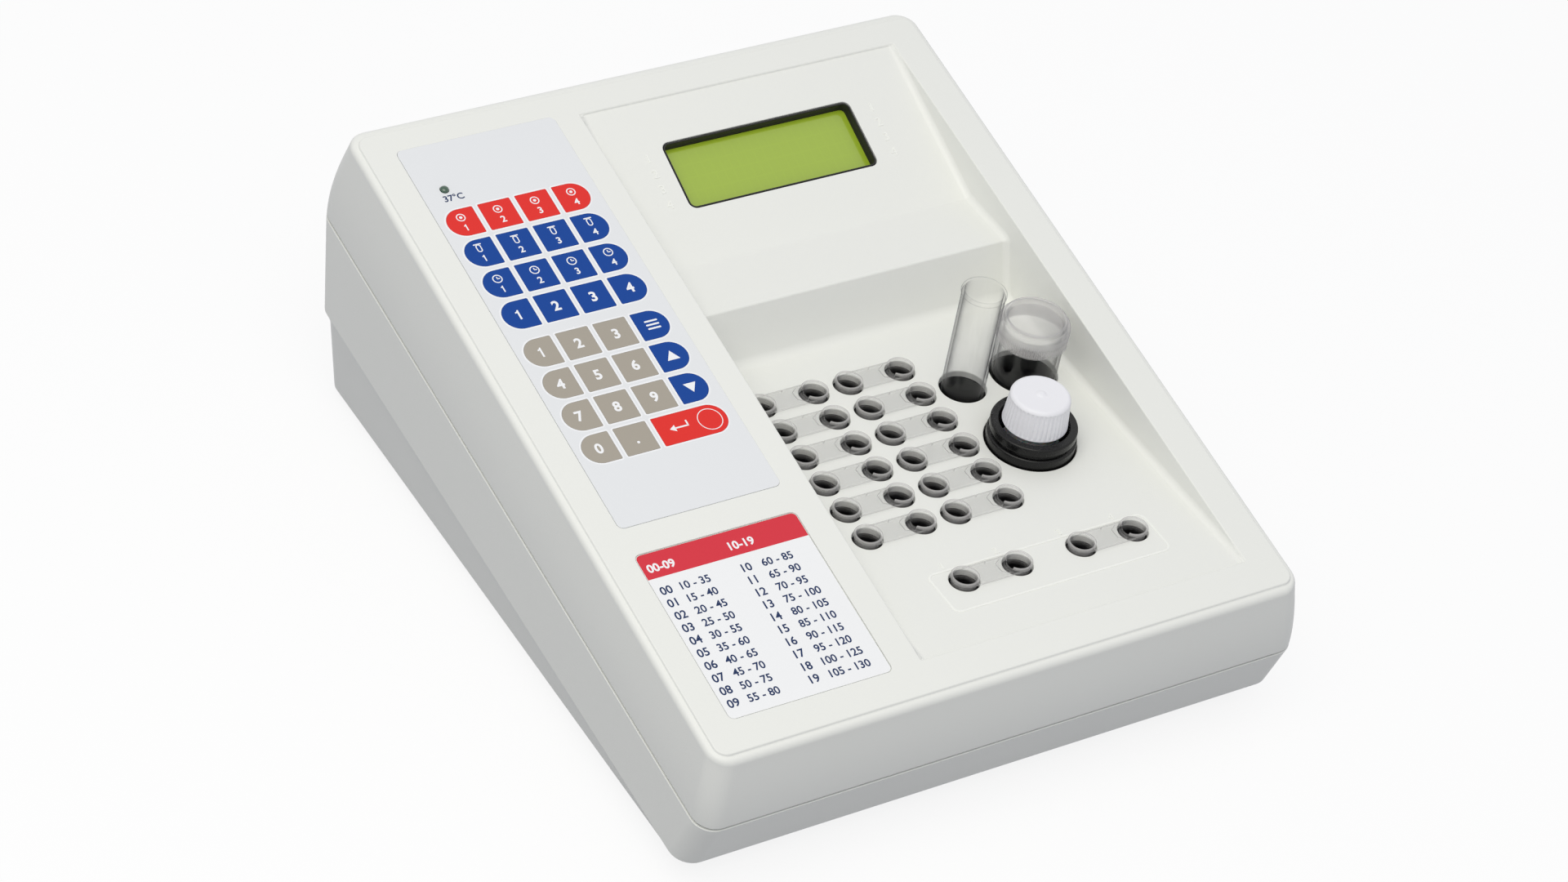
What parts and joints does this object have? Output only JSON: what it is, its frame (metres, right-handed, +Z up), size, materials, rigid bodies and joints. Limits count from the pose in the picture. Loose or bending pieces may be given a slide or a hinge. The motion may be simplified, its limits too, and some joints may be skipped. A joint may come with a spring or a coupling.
{
  "type": "coagulation analyzer",
  "caption": "Benchtop coagulation analyzer with a sloping deck, membrane keypad, display recess, heated wells for double cuvettes, a sample tube, a stirring vial and a bottle.",
  "frame": {"origin": "middle of the footprint, on the surface that the four pads stand on", "axes": "+X to the operator's right, +Y towards the back of the instrument, +Z up"},
  "size_m": [0.2366, 0.2832, 0.1102],
  "materials": {
    "housing": "fine satin moulded plastic",
    "film": "printed polyester film",
    "key_red": "printed film",
    "key_blue": "printed film",
    "key_grey": "printed film",
    "card": "printed card under film",
    "display": "green display glass in a black lining",
    "block": "black anodised",
    "board": "solder-masked board",
    "black": "black moulded plastic",
    "switch": "red translucent moulded plastic",
    "clear": "clear moulded plastic",
    "bottle": "translucent polyethylene",
    "cap": "white ribbed cap"
  },
  "bodies": {
    "housing": {"base_tray": "housing", "top_cover": "housing", "keypad_overlay": "film", "test_list_card": "card", "lcd_module": "display", "thermo_block": "block", "main_board": "board", "power_entry": "black"},
    "key_sensor_1": {"key_sensor_1": "key_red"},
    "key_sensor_2": {"key_sensor_2": "key_red"},
    "key_sensor_3": {"key_sensor_3": "key_red"},
    "key_sensor_4": {"key_sensor_4": "key_red"},
    "key_unit_1": {"key_unit_1": "key_blue"},
    "key_unit_2": {"key_unit_2": "key_blue"},
    "key_unit_3": {"key_unit_3": "key_blue"},
    "key_unit_4": {"key_unit_4": "key_blue"},
    "key_timer_1": {"key_timer_1": "key_blue"},
    "key_timer_2": {"key_timer_2": "key_blue"},
    "key_timer_3": {"key_timer_3": "key_blue"},
    "key_timer_4": {"key_timer_4": "key_blue"},
    "key_mode_1": {"key_mode_1": "key_blue"},
    "key_mode_2": {"key_mode_2": "key_blue"},
    "key_mode_3": {"key_mode_3": "key_blue"},
    "key_mode_4": {"key_mode_4": "key_blue"},
    "key_1": {"key_1": "key_grey"},
    "key_2": {"key_2": "key_grey"},
    "key_3": {"key_3": "key_grey"},
    "key_menu": {"key_menu": "key_blue"},
    "key_4": {"key_4": "key_grey"},
    "key_5": {"key_5": "key_grey"},
    "key_6": {"key_6": "key_grey"},
    "key_up": {"key_up": "key_blue"},
    "key_7": {"key_7": "key_grey"},
    "key_8": {"key_8": "key_grey"},
    "key_9": {"key_9": "key_grey"},
    "key_down": {"key_down": "key_blue"},
    "key_0": {"key_0": "key_grey"},
    "key_point": {"key_point": "key_grey"},
    "key_enter": {"key_enter": "key_red"},
    "cuvette_left_1": {"cuvette_left_1": "clear"},
    "cuvette_left_2": {"cuvette_left_2": "clear"},
    "cuvette_left_3": {"cuvette_left_3": "clear"},
    "cuvette_left_4": {"cuvette_left_4": "clear"},
    "cuvette_left_5": {"cuvette_left_5": "clear"},
    "cuvette_left_6": {"cuvette_left_6": "clear"},
    "cuvette_optic_left": {"cuvette_optic_left": "clear"},
    "cuvette_optic_right": {"cuvette_optic_right": "clear"},
    "cuvette_right_1": {"cuvette_right_1": "clear"},
    "cuvette_right_2": {"cuvette_right_2": "clear"},
    "cuvette_right_3": {"cuvette_right_3": "clear"},
    "cuvette_right_4": {"cuvette_right_4": "clear"},
    "cuvette_right_5": {"cuvette_right_5": "clear"},
    "cuvette_right_6": {"cuvette_right_6": "clear"},
    "power_rocker": {"power_rocker": "switch"},
    "sample_tube": {"sample_tube": "clear"},
    "reagent_vial": {"reagent_vial": "clear"},
    "vial_lid": {"vial_lid": "clear"},
    "bottle_adapter": {"bottle_adapter": "black"},
    "reagent_bottle": {"reagent_bottle": "bottle"},
    "bottle_cap": {"bottle_cap": "cap"}
  },
  "joints": [
    {"name": "key_sensor_1_press", "type": "slide", "parent": "housing", "child": "key_sensor_1", "axis": [0, -0.1828, 0.9832], "range_m": [-0.0004, 0], "stiffness_N_per_m": 900, "springref_m": 0.0003},
    {"name": "key_sensor_2_press", "type": "slide", "parent": "housing", "child": "key_sensor_2", "axis": [0, -0.1828, 0.9832], "range_m": [-0.0004, 0], "stiffness_N_per_m": 900, "springref_m": 0.0003},
    {"name": "key_sensor_3_press", "type": "slide", "parent": "housing", "child": "key_sensor_3", "axis": [0, -0.1828, 0.9832], "range_m": [-0.0004, 0], "stiffness_N_per_m": 900, "springref_m": 0.0003},
    {"name": "key_sensor_4_press", "type": "slide", "parent": "housing", "child": "key_sensor_4", "axis": [0, -0.1828, 0.9832], "range_m": [-0.0004, 0], "stiffness_N_per_m": 900, "springref_m": 0.0003},
    {"name": "key_unit_1_press", "type": "slide", "parent": "housing", "child": "key_unit_1", "axis": [0, -0.1828, 0.9832], "range_m": [-0.0004, 0], "stiffness_N_per_m": 900, "springref_m": 0.0003},
    {"name": "key_unit_2_press", "type": "slide", "parent": "housing", "child": "key_unit_2", "axis": [0, -0.1828, 0.9832], "range_m": [-0.0004, 0], "stiffness_N_per_m": 900, "springref_m": 0.0003},
    {"name": "key_unit_3_press", "type": "slide", "parent": "housing", "child": "key_unit_3", "axis": [0, -0.1828, 0.9832], "range_m": [-0.0004, 0], "stiffness_N_per_m": 900, "springref_m": 0.0003},
    {"name": "key_unit_4_press", "type": "slide", "parent": "housing", "child": "key_unit_4", "axis": [0, -0.1828, 0.9832], "range_m": [-0.0004, 0], "stiffness_N_per_m": 900, "springref_m": 0.0003},
    {"name": "key_timer_1_press", "type": "slide", "parent": "housing", "child": "key_timer_1", "axis": [0, -0.1828, 0.9832], "range_m": [-0.0004, 0], "stiffness_N_per_m": 900, "springref_m": 0.0003},
    {"name": "key_timer_2_press", "type": "slide", "parent": "housing", "child": "key_timer_2", "axis": [0, -0.1828, 0.9832], "range_m": [-0.0004, 0], "stiffness_N_per_m": 900, "springref_m": 0.0003},
    {"name": "key_timer_3_press", "type": "slide", "parent": "housing", "child": "key_timer_3", "axis": [0, -0.1828, 0.9832], "range_m": [-0.0004, 0], "stiffness_N_per_m": 900, "springref_m": 0.0003},
    {"name": "key_timer_4_press", "type": "slide", "parent": "housing", "child": "key_timer_4", "axis": [0, -0.1828, 0.9832], "range_m": [-0.0004, 0], "stiffness_N_per_m": 900, "springref_m": 0.0003},
    {"name": "key_mode_1_press", "type": "slide", "parent": "housing", "child": "key_mode_1", "axis": [0, -0.1828, 0.9832], "range_m": [-0.0004, 0], "stiffness_N_per_m": 900, "springref_m": 0.0003},
    {"name": "key_mode_2_press", "type": "slide", "parent": "housing", "child": "key_mode_2", "axis": [0, -0.1828, 0.9832], "range_m": [-0.0004, 0], "stiffness_N_per_m": 900, "springref_m": 0.0003},
    {"name": "key_mode_3_press", "type": "slide", "parent": "housing", "child": "key_mode_3", "axis": [0, -0.1828, 0.9832], "range_m": [-0.0004, 0], "stiffness_N_per_m": 900, "springref_m": 0.0003},
    {"name": "key_mode_4_press", "type": "slide", "parent": "housing", "child": "key_mode_4", "axis": [0, -0.1828, 0.9832], "range_m": [-0.0004, 0], "stiffness_N_per_m": 900, "springref_m": 0.0003},
    {"name": "key_1_press", "type": "slide", "parent": "housing", "child": "key_1", "axis": [0, -0.1828, 0.9832], "range_m": [-0.0004, 0], "stiffness_N_per_m": 900, "springref_m": 0.0003},
    {"name": "key_2_press", "type": "slide", "parent": "housing", "child": "key_2", "axis": [0, -0.1828, 0.9832], "range_m": [-0.0004, 0], "stiffness_N_per_m": 900, "springref_m": 0.0003},
    {"name": "key_3_press", "type": "slide", "parent": "housing", "child": "key_3", "axis": [0, -0.1828, 0.9832], "range_m": [-0.0004, 0], "stiffness_N_per_m": 900, "springref_m": 0.0003},
    {"name": "key_menu_press", "type": "slide", "parent": "housing", "child": "key_menu", "axis": [0, -0.1828, 0.9832], "range_m": [-0.0004, 0], "stiffness_N_per_m": 900, "springref_m": 0.0003},
    {"name": "key_4_press", "type": "slide", "parent": "housing", "child": "key_4", "axis": [0, -0.1828, 0.9832], "range_m": [-0.0004, 0], "stiffness_N_per_m": 900, "springref_m": 0.0003},
    {"name": "key_5_press", "type": "slide", "parent": "housing", "child": "key_5", "axis": [0, -0.1828, 0.9832], "range_m": [-0.0004, 0], "stiffness_N_per_m": 900, "springref_m": 0.0003},
    {"name": "key_6_press", "type": "slide", "parent": "housing", "child": "key_6", "axis": [0, -0.1828, 0.9832], "range_m": [-0.0004, 0], "stiffness_N_per_m": 900, "springref_m": 0.0003},
    {"name": "key_up_press", "type": "slide", "parent": "housing", "child": "key_up", "axis": [0, -0.1828, 0.9832], "range_m": [-0.0004, 0], "stiffness_N_per_m": 900, "springref_m": 0.0003},
    {"name": "key_7_press", "type": "slide", "parent": "housing", "child": "key_7", "axis": [0, -0.1828, 0.9832], "range_m": [-0.0004, 0], "stiffness_N_per_m": 900, "springref_m": 0.0003},
    {"name": "key_8_press", "type": "slide", "parent": "housing", "child": "key_8", "axis": [0, -0.1828, 0.9832], "range_m": [-0.0004, 0], "stiffness_N_per_m": 900, "springref_m": 0.0003},
    {"name": "key_9_press", "type": "slide", "parent": "housing", "child": "key_9", "axis": [0, -0.1828, 0.9832], "range_m": [-0.0004, 0], "stiffness_N_per_m": 900, "springref_m": 0.0003},
    {"name": "key_down_press", "type": "slide", "parent": "housing", "child": "key_down", "axis": [0, -0.1828, 0.9832], "range_m": [-0.0004, 0], "stiffness_N_per_m": 900, "springref_m": 0.0003},
    {"name": "key_0_press", "type": "slide", "parent": "housing", "child": "key_0", "axis": [0, -0.1828, 0.9832], "range_m": [-0.0004, 0], "stiffness_N_per_m": 900, "springref_m": 0.0003},
    {"name": "key_point_press", "type": "slide", "parent": "housing", "child": "key_point", "axis": [0, -0.1828, 0.9832], "range_m": [-0.0004, 0], "stiffness_N_per_m": 900, "springref_m": 0.0003},
    {"name": "key_enter_press", "type": "slide", "parent": "housing", "child": "key_enter", "axis": [0, -0.1828, 0.9832], "range_m": [-0.0004, 0], "stiffness_N_per_m": 900, "springref_m": 0.0003},
    {"name": "cuvette_left_1_lift", "type": "slide", "parent": "housing", "child": "cuvette_left_1", "axis": [0, 0, 1], "range_m": [0, 0.03]},
    {"name": "cuvette_left_2_lift", "type": "slide", "parent": "housing", "child": "cuvette_left_2", "axis": [0, 0, 1], "range_m": [0, 0.03]},
    {"name": "cuvette_left_3_lift", "type": "slide", "parent": "housing", "child": "cuvette_left_3", "axis": [0, 0, 1], "range_m": [0, 0.03]},
    {"name": "cuvette_left_4_lift", "type": "slide", "parent": "housing", "child": "cuvette_left_4", "axis": [0, 0, 1], "range_m": [0, 0.03]},
    {"name": "cuvette_left_5_lift", "type": "slide", "parent": "housing", "child": "cuvette_left_5", "axis": [0, 0, 1], "range_m": [0, 0.03]},
    {"name": "cuvette_left_6_lift", "type": "slide", "parent": "housing", "child": "cuvette_left_6", "axis": [0, 0, 1], "range_m": [0, 0.03]},
    {"name": "cuvette_optic_left_lift", "type": "slide", "parent": "housing", "child": "cuvette_optic_left", "axis": [0, 0, 1], "range_m": [0, 0.03]},
    {"name": "cuvette_optic_right_lift", "type": "slide", "parent": "housing", "child": "cuvette_optic_right", "axis": [0, 0, 1], "range_m": [0, 0.03]},
    {"name": "cuvette_right_1_lift", "type": "slide", "parent": "housing", "child": "cuvette_right_1", "axis": [0, 0, 1], "range_m": [0, 0.03]},
    {"name": "cuvette_right_2_lift", "type": "slide", "parent": "housing", "child": "cuvette_right_2", "axis": [0, 0, 1], "range_m": [0, 0.03]},
    {"name": "cuvette_right_3_lift", "type": "slide", "parent": "housing", "child": "cuvette_right_3", "axis": [0, 0, 1], "range_m": [0, 0.03]},
    {"name": "cuvette_right_4_lift", "type": "slide", "parent": "housing", "child": "cuvette_right_4", "axis": [0, 0, 1], "range_m": [0, 0.03]},
    {"name": "cuvette_right_5_lift", "type": "slide", "parent": "housing", "child": "cuvette_right_5", "axis": [0, 0, 1], "range_m": [0, 0.03]},
    {"name": "cuvette_right_6_lift", "type": "slide", "parent": "housing", "child": "cuvette_right_6", "axis": [0, 0, 1], "range_m": [0, 0.03]},
    {"name": "sample_tube_lift", "type": "slide", "parent": "housing", "child": "sample_tube", "axis": [0, 0, 1], "range_m": [0, 0.05]},
    {"name": "reagent_vial_lift", "type": "slide", "parent": "housing", "child": "reagent_vial", "axis": [0, 0, 1], "range_m": [0, 0.05]},
    {"name": "vial_lid_lift", "type": "slide", "parent": "reagent_vial", "child": "vial_lid", "axis": [0, 0, 1], "range_m": [0, 0.012]},
    {"name": "bottle_adapter_lift", "type": "slide", "parent": "housing", "child": "bottle_adapter", "axis": [0, 0, 1], "range_m": [0, 0.04]},
    {"name": "reagent_bottle_lift", "type": "slide", "parent": "bottle_adapter", "child": "reagent_bottle", "axis": [0, 0, 1], "range_m": [0, 0.045]},
    {"name": "bottle_cap_turn", "type": "hinge", "parent": "reagent_bottle", "child": "bottle_cap", "pos_m": [0.0646, -0.0433, 0.0606], "axis": [0, 0, 1], "range_deg": [0, 540]},
    {"name": "power_rocker_tilt", "type": "hinge", "parent": "housing", "child": "power_rocker", "pos_m": [-0.0846, 0.13583, 0.05279], "axis": [-1, 0, 0], "range_deg": [0, 16]}
  ]
}
